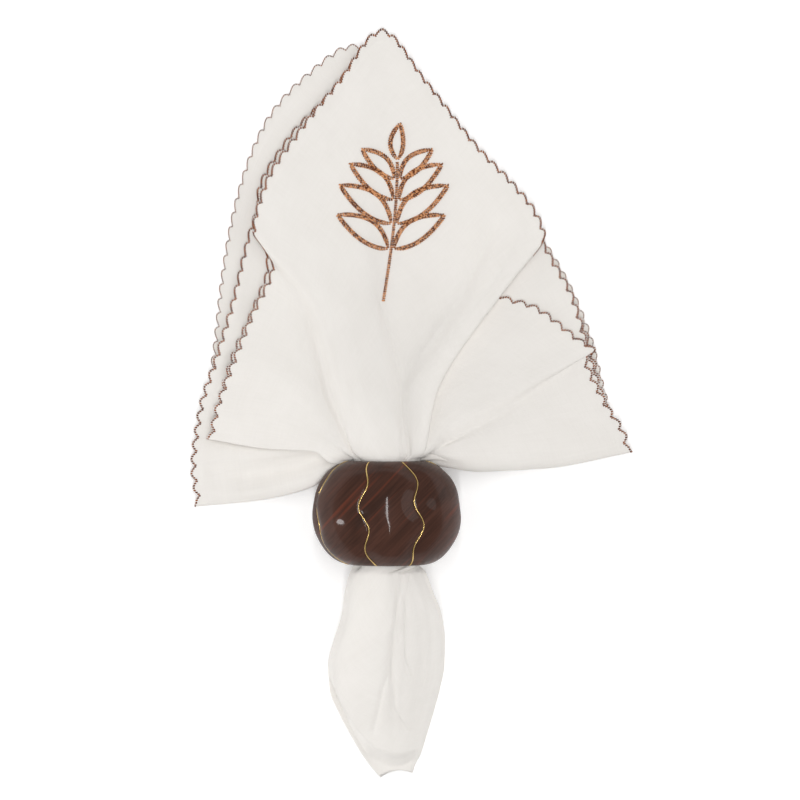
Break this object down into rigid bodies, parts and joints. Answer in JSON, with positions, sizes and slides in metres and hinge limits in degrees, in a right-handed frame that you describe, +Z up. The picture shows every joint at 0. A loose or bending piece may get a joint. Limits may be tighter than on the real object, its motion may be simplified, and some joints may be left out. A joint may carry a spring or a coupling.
{
  "type": "napkin in a ring",
  "caption": "Square linen napkin with a scalloped stitched hem, drawn by its middle through a lobed wooden ring, with its layers fanned out and its middle hanging out as a tail.",
  "frame": {"origin": "the flat spot under the ring, at mid length, where the ring rests on the table", "axes": "+Y along the ring's bore towards the tip of the fanned napkin, +Z up from the table, +X to the right seen from above with the tip away"},
  "size_m": [0.2194, 0.3747, 0.0716],
  "materials": {
    "linen": "plain woven linen, matt",
    "thread": "twisted embroidery thread with a soft sheen",
    "dark_wood": "high gloss lacquer",
    "brass_wire": "polished"
  },
  "bodies": {
    "root": {"napkin": "linen", "ring_body": "dark_wood", "ring_wire_1": "brass_wire", "ring_wire_2": "brass_wire", "ring_wire_3": "brass_wire", "ring_wire_4": "brass_wire", "ring_wire_5": "brass_wire", "ring_wire_6": "brass_wire"}
  },
  "joints": []
}
